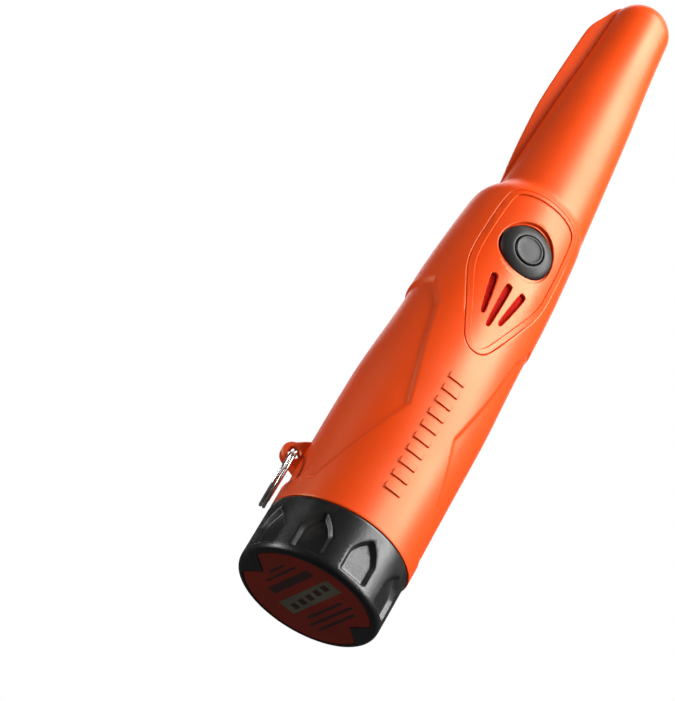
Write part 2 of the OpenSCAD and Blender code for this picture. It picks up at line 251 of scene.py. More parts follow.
class Build:
    """Corners in millimetres and faces of one piece."""

    def __init__(self):
        self.points, self.faces, self.paint = [], [], []

    def add(self, points):
        """Takes in corners and returns their numbers."""
        start = len(self.points)
        self.points += [tuple(float(c) for c in p) for p in np.reshape(points, (-1, 3))]
        return list(range(start, len(self.points)))

    def face(self, ids, paint=0):
        self.faces.append(tuple(ids))
        self.paint.append(paint)

    def strip(self, a, b, closed=True):
        """Joins two rows of as many corners."""
        n = len(a)
        for i in range(n if closed else n - 1):
            self.face((a[i], a[(i + 1) % n], b[(i + 1) % n], b[i]))

    def halve(self, fine, coarse):
        """Joins a closed loop to one with half its corners."""
        n = len(coarse)
        for i in range(n):
            j = (i + 1) % n
            self.face((fine[2 * i], fine[2 * i + 1], fine[2 * j], coarse[j], coarse[i]))

    def fan(self, loop, tip):
        """Joins a closed loop to one corner."""
        n = len(loop)
        for i in range(n):
            self.face((loop[i], loop[(i + 1) % n], tip))

    def lathe(self, profile, place):
        """Turns an open (radius, height) profile; zero radii close it, as does a loop."""
        rings, angle = [], np.linspace(0, 2 * np.pi, BUTTON_COLUMNS, endpoint=False)
        for r, h in profile:
            rings.append(self.add(place(r * np.cos(angle), r * np.sin(angle), h))
                         if r > 1e-6 else self.add([place(0.0, 0.0, h)]))
        for a, b in zip(rings, rings[1:]):
            if len(a) > 1 and len(b) > 1:
                self.strip(a, b)
            else:
                self.fan(*((a, b[0]) if len(a) > 1 else (b, a[0])))

    def sweep(self, rings):
        """A tube through rings of corners, with flat ends."""
        ids = [self.add(r) for r in rings]
        for a, b in zip(ids, ids[1:]):
            self.strip(a, b)
        self.face(ids[0])
        self.face(ids[-1][::-1])

    def sheet(self, loops, spots, outer, holes, place, paint=None):
        """Triangles over a flat region, then placed. Returns each loop's corners."""
        faces, mid = triangles(loops, spots, outer, holes)
        flat = np.vstack([*loops, spots]) if len(spots) else np.vstack(loops)
        ids = self.add(place(flat))
        for f, m in zip(faces, mid):
            self.face([ids[i] for i in f], paint(m) if paint else 0)
        ends = np.cumsum([0] + [len(q) for q in loops])
        return [ids[a:b] for a, b in zip(ends, ends[1:])]

    def object(self, name, body, materials, replaced, sharp=38):
        """Makes the mesh, with edges sharper than an angle kept, and gives it to its body."""
        mesh = bpy.data.meshes.new(name)
        mesh.from_pydata([[c * MM for c in p] for p in self.points], [], self.faces)
        mesh.polygons.foreach_set("material_index", self.paint)
        bm = bmesh.new()
        bm.from_mesh(mesh)
        bmesh.ops.delete(bm, geom=[v for v in bm.verts if not v.link_faces], context="VERTS")
        bmesh.ops.remove_doubles(bm, verts=bm.verts, dist=2e-6)
        bmesh.ops.recalc_face_normals(bm, faces=bm.faces)
        bm.to_mesh(mesh)
        bm.free()
        mesh.shade_smooth()
        mesh.set_sharp_from_angle(angle=math.radians(sharp))
        for m in materials:
            mesh.materials.append(m)
        made = bpy.data.objects.new(name, mesh)
        bpy.context.scene.collection.objects.link(made)
        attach(made, body)
        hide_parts(*replaced)


def helix(build, section, z0, rise, turns):
    """A ridge of a closed (radius, height) section along a screw line, fading at its ends."""
    steps, taper = 72, 0.05  # per turn, and the share of a turn over which an end fades
    n = int(turns * steps)
    rings = []
    for i in range(n + 1):
        a = 2 * np.pi * turns * i / n
        fade = min(1.0, min(i, n - i) / (steps * taper))
        base = section[0][0]
        rings.append([((base + (r - base) * fade) * math.cos(a),
                       (base + (r - base) * fade) * math.sin(a),
                       z0 + h + rise * turns * i / n) for r, h in section])
    build.sweep(rings)


# ---------------------------------------------------------------- materials

def material(name, base, rough, metallic=0.0, tone=(60, 0.12), grain=(900, 0.08),
             spread=0.06, specular=0.5, tint=None, pattern=None, dust=0.0):
    """A procedural finish: base colour with cloudy tone, uneven gloss and a fine grain. tone
    is (scale, amount), grain (scale, strength), and spread how far the gloss strays."""
    mat = bpy.data.materials.new(name)
    mat.use_nodes = True
    nodes, links = mat.node_tree.nodes, mat.node_tree.links
    shader = nodes["Principled BSDF"]
    shader.inputs["Metallic"].default_value = metallic
    shader.inputs["Specular IOR Level"].default_value = specular
    if tint:
        shader.inputs["Specular Tint"].default_value = (*tint, 1)
    where = nodes.new("ShaderNodeTexCoord").outputs["Object"]

    def noise(scale, detail=3.0):
        n = nodes.new("ShaderNodeTexNoise")
        n.inputs["Scale"].default_value = scale
        n.inputs["Detail"].default_value = detail
        links.new(where, n.inputs["Vector"])
        return n.outputs["Fac"]

    def mixed(fac, a, b):
        """One colour blended with another; each value may be a number or a socket."""
        m = nodes.new("ShaderNodeMix")
        m.data_type = "RGBA"  # its colour sockets are inputs 6 and 7 and output 2
        for socket, value in zip((m.inputs[0], m.inputs[6], m.inputs[7]), (fac, a, b)):
            if isinstance(value, bpy.types.NodeSocket):
                links.new(value, socket)
            else:
                socket.default_value = value
        return m.outputs[2]

    def ramp(value, lo, hi, a=0.0, b=1.0):
        """Maps lo to hi onto a to b."""
        r = nodes.new("ShaderNodeMapRange")
        links.new(value, r.inputs["Value"])
        for key, v in zip(("From Min", "From Max", "To Min", "To Max"), (lo, hi, a, b)):
            r.inputs[key].default_value = v
        return r.outputs["Result"]

    dark = (*[c * (1 - tone[1]) for c in base], 1)
    light = (*[min(1, c * (1 + tone[1])) for c in base], 1)
    colour = mixed(ramp(noise(tone[0], 4), 0.35, 0.65), dark, light)
    if pattern:
        colour, height = pattern(nodes, links, where, colour, mixed, ramp)
    else:
        height = noise(grain[0], 2)
    if dust:
        spots = ramp(noise(tone[0] * 4, 6), 0.56, 0.72, 0, dust)
        colour = mixed(spots, colour, (0.45, 0.42, 0.38, 1))
    links.new(colour, shader.inputs["Base Color"])
    links.new(ramp(noise(tone[0] * 1.7, 5), 0.3, 0.7, rough - spread, rough + spread),
              shader.inputs["Roughness"])
    bump = nodes.new("ShaderNodeBump")
    bump.inputs["Strength"].default_value = grain[1]
    bump.inputs["Distance"].default_value = 0.0002
    links.new(height, bump.inputs["Height"])
    links.new(bump.outputs["Normal"], shader.inputs["Normal"])
    return mat


ORANGE = (0.74, 0.054, 0.0015)
WARM = (1.0, 0.62, 0.34)
orange = material("orange_plastic", ORANGE, 0.44, tone=(18, 0.06), grain=(1500, 0.10),
                  specular=0.9, tint=WARM)
orange_panel = material("panel_plastic", ORANGE, 0.42, tone=(22, 0.06), grain=(1500, 0.10),
                        specular=0.9, tint=WARM)
cap_plastic = material("cap_plastic", (0.0055, 0.005, 0.0048), 0.34, tone=(30, 0.2),
                       grain=(1700, 0.16), dust=0.03)
rubber = material("button_rubber", (0.014, 0.0135, 0.013), 0.46, specular=0.32, tone=(40, 0.2),
                  grain=(1900, 0.2), dust=0.03)
# The label's film and patch colours below are darker than the label's own colours: painted shade
# for the shadow that the cap's end face lies in.
label_film_painted_shade = material("label_film_painted_shade", (0.36, 0.028, 0.012), 0.5, specular=0.25, tone=(60, 0.15),
                      grain=(700, 0.06))
label_patch_painted_shade = material("label_patch_painted_shade", (0.19, 0.175, 0.12), 0.5, tone=(80, 0.2), grain=(700, 0.06))
label_ink = material("label_ink", (0.06, 0.012, 0.01), 0.5, tone=(90, 0.3), grain=(700, 0.06))
ring_steel = material("ring_steel", (0.72, 0.71, 0.69), 0.22, metallic=1.0, tone=(60, 0.06),
                      grain=(300, 0.004), spread=0.03)


# ---------------------------------------------------------------- the shell

SHIELD_HALF = [(4, 141.3), (7, 141), (9.5, 140.3), (11.2, 139.2), (12.2, 137.4),
               (12.8, 133), (13.4, 124), (13.6, 115), (13.3, 110), (12.4, 105.6),
               (10.6, 100.6), (8.7, 95.2), (7, 90.5), (5.3, 86), (4.2, 83.6),
               (2.8, 81.9), (1.3, 81.1)]
SHIELD = anticlockwise(chaikin(
    [(0, 141.4), *SHIELD_HALF, (0, 81), *[(-x, z) for x, z in reversed(SHIELD_HALF)]]))
SCALE_R = 19.8  # radius that turns angles into widths while the front patch is laid out
PATCH_MID = 112.0


def front_angle(x, z):
    """The angle round the grip of points seen in front of x and z."""
    p = front(x, z)
    return np.arctan2(p[..., 0], -p[..., 1])


def patch_reach(loop):
    """Distance from the patch's middle to a loop, as a function of the direction."""
    dense = resample(loop, 0.25)
    s = SCALE_R * front_angle(dense[:, 0], dense[:, 1])
    angle = np.arctan2(dense[:, 1] - PATCH_MID, s)
    far = np.hypot(s, dense[:, 1] - PATCH_MID)
    order = np.argsort(angle)
    return lambda q: np.interp(q, angle[order], far[order], period=2 * np.pi)


def around_shell(build, rows, sinks, columns, side, loop, spread, layers, depth, carve):
    """A grid right round the shell with an opening of the loop's shape in front. Layers of
    corners lead from the opening to a window in the grid, the first of them at the
    (distance, extra depth) pairs in spread.
    Returns the first row, the opening's corners with their angles and heights, the last row."""
    theta = 2 * np.pi * np.arange(columns) / columns
    grid = [build.add(skin(theta, z, depth + s, carve)) for z, s in zip(rows, sinks)]
    lo, hi = (np.searchsorted(rows, z - 1e-6) for z in WINDOW_Z)
    for i in range(len(rows) - 1):
        for j in range(columns):
            if lo <= i < hi and (j < side or j >= columns - side):
                continue
            k = (j + 1) % columns
            build.face((grid[i][j], grid[i][k], grid[i + 1][k], grid[i + 1][j]))
    rim = ([(j, lo) for j in range(-side, side)] + [(side, i) for i in range(lo, hi)]
           + [(j, hi) for j in range(side, -side, -1)]
           + [(-side, i) for i in range(hi, lo, -1)])
    edge = np.array([(SCALE_R * 2 * np.pi * j / columns, rows[i] - PATCH_MID) for j, i in rim])
    angle = np.arctan2(edge[:, 1], edge[:, 0])
    hole = patch_reach(loop)(angle)[:, None] * np.stack([np.cos(angle), np.sin(angle)], 1)
    outwards = (edge - hole) / np.linalg.norm(edge - hole, axis=1)[:, None]
    loops = [(hole, spread[0][1])] + [(hole + g * outwards, s) for g, s in spread[1:]]
    start = loops[-1][0]
    loops += [(start + t * (edge - start), 0.0) for t in np.linspace(0, 1, layers)[1:-1]]
    last, first, flat = None, None, None
    for at, sink in loops:
        t, z = at[:, 0] / SCALE_R, at[:, 1] + PATCH_MID
        ids = build.add(skin(t, z, depth + sink, carve))
        if last:
            build.strip(last, ids)
        else:
            first, flat = ids, (t, z)
        last = ids
    build.strip(last, [grid[i][j % columns] for j, i in rim])
    return grid[0], first, flat, grid[-1]


def between(*spans):
    """Heights in equal steps over spans of (start, end, step), with the last end."""
    z = [np.arange(a, b - 1e-6, s) for a, b, s in spans]
    return np.concatenate([*z, [spans[-1][1]]])


def halved(coarse):
    """The same heights with one more in the middle of every step."""
    mid = (coarse[1:] + coarse[:-1]) / 2
    return np.sort(np.concatenate([coarse, mid]))


def dome(depth, n):
    """Heights up the dome, in equal angles, to just short of its top."""
    return DOME_Z + (DOME_H - depth) * np.sin(np.linspace(0, math.radians(84), n)[1:])


COLUMNS, SIDE = 256, 44  # corners round the shell, and from the front to the window's side
WINDOW_Z = (72, 146)
POCKET = 1.6  # depth of the ledge that the panel lies on


def walls(build):
    """The shell's outer and inner surfaces, joined at the mouth and round the panel's pocket."""
    coarse = np.concatenate([[MOUTH_Z, 19, 21], between((22, 104, 1), (104, GRIP_TOP, 2),
                                                        (GRIP_TOP, DOME_Z, 4))])
    rows = np.concatenate([halved(coarse), dome(0, 14)])
    rows = np.concatenate([[MOUTH_Z, MOUTH_Z + 0.1], rows[1:]])
    sinks = np.zeros(len(rows))
    sinks[:2] = 0.25, 0.08
    rim_out, hole_out, flat_out, tip_out = around_shell(
        build, rows, sinks, COLUMNS, SIDE, SHIELD, [(0, 0.3), (0.12, 0.07), (0.25, 0)], 34,
        0.0, True)
    tip = (TUBE_OFFSET - (DOME_Z + DOME_H - ROOT_Z) * TUBE_SLOPE) * AWAY
    build.fan(tip_out, build.add([(*tip, DOME_Z + DOME_H)])[0])

    rows = np.concatenate([coarse, dome(WALL, 8)])
    sinks = np.where(rows < 30, grip_profile(rows) - BORE_R - WALL, 0)
    rim_in, hole_in, flat_in, tip_in = around_shell(
        build, rows, sinks, COLUMNS // 2, SIDE // 2, grown(SHIELD, -1.7), [(0, 0), (0.5, 0)], 10,
        WALL, False)
    build.fan(tip_in, build.add([(*tip, DOME_Z + DOME_H - WALL)])[0])

    build.halve(rim_out, rim_in)
    pocket = build.add(front(skin(*flat_out)[:, 0], flat_out[1], POCKET))
    build.strip(hole_out, pocket)
    ledge = build.add(front(skin(*flat_in, WALL, False)[:, 0], flat_in[1], POCKET))
    build.halve(pocket, ledge)
    build.strip(ledge, hole_in)
    helix(build, [(BORE_R + 0.3, 0.75), (BORE_R - 0.7, 0.3), (BORE_R - 0.7, -0.3),
                  (BORE_R + 0.3, -0.75)], 23.3, 3, 1.5)


def from_fin(r, across, z):
    """Points at a distance behind the fin's side of the axis, and off its middle plane."""
    r, across, z = np.broadcast_arrays(r, across, z)
    xy = -r[..., None] * AWAY + across[..., None] * ACROSS
    return np.concatenate([xy, z[..., None].astype(float)], -1)


def rounded_plate(build, outer, inner, half, edge):
    """A plate of a half thickness from an open outer path back to an inner one, with its
    outer edges rounded."""
    outer, inner = np.array(outer, float), np.array(inner, float)
    d = np.gradient(outer, axis=0)
    n = np.stack([-d[:, 1], d[:, 0]], 1) / np.linalg.norm(d, axis=1)[:, None]
    loops = [(inner, half)]
    for a in np.linspace(0, np.pi, 7):
        sag = edge * (1 - abs(math.sin(a)))
        side = np.sign(round(math.cos(a), 9))
        loops.append((outer + sag * n, (half - edge) * side + edge * math.cos(a)))
    loops.append((inner, -half))
    ids = [build.add(from_fin(p[:, 0], w, p[:, 1])) for p, w in loops]
    for a, b in zip(ids, ids[1:]):
        build.strip(a, b, closed=False)
    build.strip(ids[-1], ids[0], closed=False)
    build.face([i[0] for i in ids])
    build.face([i[-1] for i in ids][::-1])


fin_line = smooth_curve([(146, 8), (148.5, 12.6), (152, 13.1), (169.5, 14.75), (184, 15.4),
                         (196, 15.15), (208, 14.7), (216.5, 14.25), (218.6, 13.85),
                         (224.2, 11.7), (230, 9.2), (231, 8.2)])
fin_z = between((146, 150, 0.5), (150, 214, 2), (214, 222, 0.5), (222, 231, 1))


def fin(build):
    """The scraper along the tube."""
    inner = np.stack([np.full(len(fin_z), 5.0), fin_z], 1)
    rounded_plate(build, np.stack([fin_line(fin_z), fin_z], 1), inner, half=1.5, edge=0.7)


def eye_arc(radius, angles):
    """Points round the middle of the lug's hole."""
    return [(EYE_R + radius * math.cos(a), EYE_Z + radius * math.sin(a)) for a in angles]


def lug(build):
    """The eye for the split ring, rounded along its outer edge and round its hole."""
    ear = eye_arc(3.5, np.linspace(-1.35, 1.35, 15))
    outline = anticlockwise([(18.9, 29.6), (21.4, 31.0), *ear, (21.4, 40.6), (18.9, 41.9)])
    hole = np.array(eye_arc(EYE_HOLE, np.linspace(0, 2 * np.pi, 28, endpoint=False)))
    rounded = grown(chaikin(outline, 1), 0, 0.5)
    loops = [rounded, grown(rounded, -0.45, 0.5), grown(anticlockwise(hole), 0.35, 0.5), hole]
    half = 1.6
    halves = [1.2, half, half, 1.25]
    spots = filling(rounded, [loops[2]], loops, 0.9, 0.4)
    across = np.concatenate([np.full(len(p), k) for p, k in zip(loops, halves)]
                            + [np.full(len(spots), half)])
    sides = [build.sheet(loops, spots, rounded, [hole],
                         lambda p, w=s * across: from_fin(p[:, 0], w, p[:, 1]))
             for s in (-1, 1)]
    build.strip(sides[0][0], sides[1][0])
    build.strip(sides[0][3], sides[1][3])


def raised(build, loop, height, edge=0.16, step=0.22):
    """A small raised island with bevelled edges and rounded corners on the front of the shell."""
    loop = anticlockwise(chaikin(resample(loop, 0.6), 2))
    base = grown(loop, 0.12, step)
    top = resample(loop, step)
    inner = grown(loop, -edge, step)
    spots = filling(inner, [], [inner], 0.8, 0.3)
    loops = [base, top, inner]
    sinks = [0.3, edge - height, -height]
    depth = np.concatenate([np.full(len(p), k) for p, k in zip(loops, sinks)]
                           + [np.full(len(spots), -height)])
    ids = build.sheet(loops, spots, base, [],
                      lambda p: front(p[:, 0], p[:, 1], depth))
    build.face(ids[0][::-1])


def grip_bars(build):
    """A row of equal plain bars up the front of the grip."""
    count, first_z, pitch = 10, 29.5, 4.4
    half_width, thick, height = 2.7, 2.2, 0.42
    for z in first_z + pitch * np.arange(count):
        raised(build, [(-half_width, z), (half_width, z), (half_width, z + thick),
                       (-half_width, z + thick)], height)


shell = Build()
walls(shell)
fin(shell)
lug(shell)
grip_bars(shell)
shell.object("shell_skin", "housing", [orange], ["main_housing"])


# ---------------------------------------------------------------- panel

PANEL_DEPTH, FACE_SINK = 1.3, 0.4
CONE_R, CONE_H, CONE_SPREAD = 8.6, 15.0, 0.3556  # round the button: radius at a height, slope
round_button = np.linspace(0, 2 * np.pi, BUTTON_COLUMNS, endpoint=False)


def button_circle(r):
    """Points round the button's axis, as seen along it."""
    return np.stack([r * np.cos(round_button), BUTTON_Z + r * np.sin(round_button)], 1)


def cone_edge(extra):
    """Where the cone round the button meets the sunken face, and a lip outside it."""
    r = np.full(BUTTON_COLUMNS, 9.5)
    for _ in range(20):
        h = -front(*button_circle(r).T, FACE_SINK)[:, 1]
        r = 0.5 * r + 0.5 * (CONE_R + (h - CONE_H) * CONE_SPREAD)
    return button_circle(r + extra)


def tapered_slot(bottom, top, w0, w1):
    """A slot between two middles of its ends, w0 wide at the bottom and w1 at the top."""
    bottom, top = np.array(bottom, float), np.array(top, float)
    d = (top - bottom) / np.linalg.norm(top - bottom)
    s = np.array([d[1], -d[0]])
    corners = [bottom - s * w0 / 2, bottom + s * w0 / 2, top + s * w1 / 2, top - s * w1 / 2]
    cut = []
    for i, c in enumerate(corners):
        for other in (corners[i - 1], corners[(i + 1) % 4]):
            step = (other - c) / np.linalg.norm(other - c)
            cut.append(c + step * min(w0, w1) * 0.42)
    return anticlockwise(chaikin(cut))


SLOTS = [tapered_slot((-2.95, 94.0), (-5.2, 108.0), 1.5, 2.4),
         tapered_slot((0, 91.2), (0, 107.4), 1.5, 2.4),
         tapered_slot((2.95, 94.0), (5.2, 108.0), 1.5, 2.4)]


def panel():
    """The shield: a sunken face inside a rim, with three slots and a cone down to the button."""
    build = Build()
    wall = grown(SHIELD, -0.15, 0.6)
    lips = [grown(SHIELD, -g, 0.6) for g in (0.35, 1.75, 2.05)]
    edge, lip = cone_edge(0.0), cone_edge(0.22)
    slots = [resample(s, 0.4) for s in SLOTS]
    slot_lips = [grown(s, 0.2, 0.4) for s in SLOTS]
    loops = [wall, *lips, edge, lip, *slots, *slot_lips]
    sinks = ([0.5, 0, 0, FACE_SINK, FACE_SINK + 0.14, FACE_SINK]
             + [FACE_SINK + 0.2] * 3 + [FACE_SINK] * 3)
    spots = filling(wall, [edge, *slots], loops, 1.0, 0.45)
    in_face = inside(spots, lips[2])
    depth = np.concatenate([np.full(len(p), k) for p, k in zip(loops, sinks)]
                           + [np.where(in_face, FACE_SINK, 0)])
    top = build.sheet(loops, spots, wall, [edge, *slots],
                      lambda p: front(p[:, 0], p[:, 1], depth))
    foot = button_circle(CONE_R)
    holes = [foot, *slots]
    spots = filling(wall, holes, [wall, *holes], 2, 0.8)
    under = build.sheet([wall, *holes], spots, wall, holes,
                        lambda p: front(p[:, 0], p[:, 1], PANEL_DEPTH))
    cone = build.add([(x, -CONE_H - 0.3, z) for x, z in foot])
    build.strip(top[4], cone)
    build.strip(cone, under[1])
    build.strip(top[0], under[0])
    for k in range(3):
        build.strip(top[6 + k], under[2 + k])
    build.object("panel_skin", "housing", [orange_panel], ["control_panel"], sharp=35)


panel()


# ---------------------------------------------------------------- button

def out_of_panel(x, z, h):
    """Places a lathe's section round the button's axis."""
    x, z = np.array(x, float), np.array(z, float)
    return np.stack([x, np.full(x.shape, -float(h)), BUTTON_Z + z], -1)


def button():
    """The rubber surround, and the disc in its middle."""
    surround = Build()
    section = [(7.1, 8.6), (8.3, 8.6), (8.3, 13.2), (9.5, 13.2), (9.5, 14.2), (8.3, 14.2),
               (8.3, 16.3), (8.24, 16.62), (8.05, 16.95), (7.7, 17.25), (7.2, 17.56),
               (6.6, 17.86), (6.0, 18.1), (5.5, 18.26), (5.1, 18.34), (4.82, 18.31),
               (4.7, 18.2), (4.66, 17.9), (4.66, 17.2), (7.1, 16.2)]
    surround.lathe(section + section[:1], out_of_panel)
    surround.object("button_surround", "housing", [rubber], ["button_boot"],
                    sharp=50)
    disc = Build()
    disc.lathe([(0, 13.15), (1.6, 13.15), (1.6, 16.6), (4.4, 16.6), (4.4, 18.25), (4.35, 18.46),
                (4.22, 18.6), (4.02, 18.66), (3.8, 18.62), (3.6, 18.52), (3.3, 18.48),
                (2, 18.52), (0, 18.55)], out_of_panel)
    disc.object("button_disc", "button", [rubber], ["button_cap"], sharp=50)


button()


# ---------------------------------------------------------------- cap

SCALLOPS, SCALLOP_START, SCALLOP_FLOOR = 9, math.radians(6.8), 19.3
CAP_COLUMNS = 144
SIDE_FOOT, SIDE_TOP = 1.6, 17.8  # heights between which the scalloped sectors lie
BATTERY_R = 16.2
cap_profile = smooth_curve([(0, 19.3), (0.1, 19.75), (0.3, 20.15), (0.6, 20.45),
                            (1.1, 20.68), (2, CAP_R), (SIDE_TOP, CAP_R), (18.1, 20.5)])


def round_cap(u, z, sink):
    """Points of the cap's side at an angle and height, sunk in."""
    r = cap_profile(z) - sink
    return np.stack([r * np.sin(u), -r * np.cos(u), z + 0 * u], -1)


def scallop_sector(build, start):
    """One ninth of the cap's side, with a house-shaped recess of sloping walls."""
    half = math.pi / SCALLOPS
    columns, rows = CAP_COLUMNS // SCALLOPS, 14
    width = half * CAP_R
    across = np.linspace(-width, width, columns + 1)
    up = np.linspace(SIDE_FOOT, SIDE_TOP, rows + 1)
    rim = np.vstack([np.stack([across[:-1], np.full(columns, SIDE_FOOT)], 1),
                     np.stack([np.full(rows, width), up[:-1]], 1),
                     np.stack([across[:0:-1], np.full(columns, SIDE_TOP)], 1),
                     np.stack([np.full(rows, -width), up[:0:-1]], 1)])
    house = anticlockwise([(-4.5, 2.2), (4.5, 2.2), (4.5, 9), (2.9, 11.9), (0, 14.9),
                           (-2.9, 11.9), (-4.5, 9)])
    house = chaikin(resample(house, 1.2), 1)
    outer = resample(house, 0.45)
    loops = [rim, grown(outer, 0.22), outer, grown(outer, -0.75), grown(outer, -1.0)]
    clear = 0.3
    spots = filling(rim, [], loops, 0.9, clear)
    spots = spots[~inside(spots, loops[1]) | inside(spots, loops[4])]
    spots = spots[np.abs(spots[:, 0]) < width - clear]
    flat = np.vstack([*loops, spots])
    deep = np.concatenate([np.zeros(len(loops[0]) + len(loops[1])), np.full(len(loops[2]), 0.08),
                           np.full(len(loops[3]), 0.93), np.ones(len(loops[4])),
                           inside(spots, loops[4]).astype(float)])
    u = flat[:, 0] / CAP_R
    r = cap_profile(flat[:, 1])
    floor = SCALLOP_FLOOR / np.cos(u)
    sink = deep * (r - floor)
    place = round_cap(start + u, flat[:, 1], sink)
    build.sheet(loops, spots, rim, [], lambda p: place)


def turned(points, angle):
    """Points turned about the origin."""
    c, s = math.cos(angle), math.sin(angle)
    return np.array([(c * x - s * y, s * x + c * y) for x, y in points])


def label_outline(r):
    """The label's round edge with a V notch on each side."""
    depth, half_notch = 5.2, math.radians(19.2) * 18.7 / r
    points = []
    for turn in (0, math.pi):
        points += [((r - depth) * math.cos(turn), (r - depth) * math.sin(turn))]
        points += [(r * math.cos(turn + t), r * math.sin(turn + t))
                   for t in np.linspace(half_notch, math.pi - half_notch, 60)]
    return turned(points, math.radians(-9))


def ring_points(r, z):
    """Corners round the cap's axis, in line with those of its scalloped side."""
    u = SCALLOP_START + 2 * np.pi * np.arange(CAP_COLUMNS) / CAP_COLUMNS
    return np.stack([r * np.sin(u), -r * np.cos(u), np.full(CAP_COLUMNS, float(z))], 1)


def level(z):
    """Places flat points at a height."""
    return lambda p: np.stack([p[:, 0], p[:, 1], np.full(len(p), z)], 1)


def cap():
    """The screw cap: scalloped side, threaded plug, battery space and the label's bed."""
    build = Build()
    for k in range(SCALLOPS):
        scallop_sector(build, SCALLOP_START + 2 * np.pi * k / SCALLOPS)
    lower = [build.add(ring_points(cap_profile(z), z))
             for z in (SIDE_FOOT, 1.1, 0.6, 0.3, 0.1, 0)]
    for a, b in zip(lower, lower[1:]):
        build.strip(a, b)
    upper = [build.add(ring_points(r, z)) for r, z in
             ((CAP_R, SIDE_TOP), (20.72, 17.98), (20.5, 18.1), (PLUG_R, 18.1), (PLUG_R, 18.6),
              (16.9, 18.6), (16.9, 20.6), (PLUG_R, 20.6), (PLUG_R, 28.5), (17.05, 29),
              (BATTERY_R, 29), (BATTERY_R, 3.6), (15.6, 3))]
    for a, b in zip(upper, upper[1:]):
        build.strip(a, b)
    build.face(upper[-1])
    rim = ring_points(cap_profile(0), 0)[:, :2]
    bed = label_outline(18.9)
    face = build.sheet([rim, bed], [], rim, [bed], level(0.0))
    floor = build.sheet([bed], [], bed, [], level(0.4))
    build.strip(face[1], floor[0])
    helix(build, [(PLUG_R - 0.3, -0.75), (PLUG_R + 0.65, -0.3), (PLUG_R + 0.65, 0.3),
                  (PLUG_R - 0.3, 0.75)], 21.8, 3, 2)
    build.object("cap_skin", "cap", [cap_plastic], ["end_cap"], sharp=40)


cap()


def box_loop(x, y, w, h):
    """A slightly turned rectangle on the label, by its middle, width and length."""
    corners = [(-w / 2, -h / 2), (w / 2, -h / 2), (w / 2, h / 2), (-w / 2, h / 2)]
    return turned(corners, math.radians(4)) + (x, y)


def label():
    """A thin printed disc: one light patch, and plain bars where print would be. Its film and
    patch colours carry painted shade.
    """
    build = Build()
    edge = label_outline(18.65)
    patch_x, patch_y = 0.1, -1.9
    patch = box_loop(patch_x, patch_y, 5.2, 25.5)
    bars = [box_loop(-6.6, -2.2, 2.6, 21.0)]
    for x, y, h in ((-10.0, -2.5, 15.5), (-11.9, -3.5, 8.0)):
        bars.append(box_loop(x, y, 0.8, h))
    for k, h in enumerate((18.0, 22.0, 19.0)):
        bars.append(box_loop(5.6 + 2.4 * k, -1.0 + 0.6 * k, 1.0, h))
    marks = [box_loop(patch_x, patch_y + 4.4 * k, 2.2, 2.6) for k in (-2, -1, 0, 1, 2)]
    loops = [edge, patch, *bars, *marks]

    def paint(m):
        """The material's number at a point: film, patch or ink."""
        m = m[None]
        if any(inside(m, b)[0] for b in (*bars, *marks)):
            return 2
        return 1 if inside(m, patch)[0] else 0

    under = build.sheet(loops, [], edge, [], level(0.1), paint)
    over = build.sheet([edge], [], edge, [], level(0.39))
    build.strip(under[0], over[0])
    build.object("label_skin", "cap", [label_film_painted_shade, label_patch_painted_shade, label_ink],
                 ["cap_label"], sharp=40)


label()


# ---------------------------------------------------------------- split ring

def split_ring():
    """Two turns of wire side by side, with a step where one turn passes to the other."""
    build = Build()
    ring_r, wire_r, wire_half = 8.5, 0.5, 0.48
    mid_z = EYE_Z - ring_r
    step, end, turned_by = math.radians(26), math.radians(16.12), 2.2
    rings = []
    for a in np.linspace(end, 4 * np.pi - end, 320):
        side = float(smooth_step(2 * np.pi - step / 2, 2 * np.pi + step / 2, a)) - 0.5
        ring = []
        for b in np.linspace(0, 2 * np.pi, 14, endpoint=False):
            far = ring_r + wire_r * math.sin(b)
            ring.append(from_fin(EYE_R - side - wire_half * math.cos(b),
                                 far * math.sin(a + turned_by),
                                 mid_z + far * math.cos(a + turned_by)))
        rings.append(ring)
    build.sweep(rings)
    build.object("ring_wire", "ring", [ring_steel], ["split_ring"], sharp=60)


split_ring()


# ---------------------------------------------------------------- finishes of the CAD nodes

def banded(scale, amount, axis="Z"):
    """Fine turns of wire or a machined lay, as rings across an axis."""
    def pattern(nodes, links, where, colour, mixed, ramp):
        wave = nodes.new("ShaderNodeTexWave")
        wave.bands_direction = axis
        wave.inputs["Scale"].default_value = scale
        wave.inputs["Distortion"].default_value = 0.6
        links.new(where, wave.inputs["Vector"])
        turns = wave.outputs["Fac"]
        return mixed(ramp(turns, 0, 0.35, amount, 0), colour, (0.02, 0.01, 0.01, 1)), turns
    return pattern


def cellular(scale, amount, colour_to):
    """Pores of foam or a woven screen, as cells."""
    def pattern(nodes, links, where, colour, mixed, ramp):
        cells = nodes.new("ShaderNodeTexVoronoi")
        cells.inputs["Scale"].default_value = scale
        links.new(where, cells.inputs["Vector"])
        far = cells.outputs["Distance"]
        return mixed(ramp(far, 0.1, 0.45, amount, 0), colour, colour_to), far
    return pattern


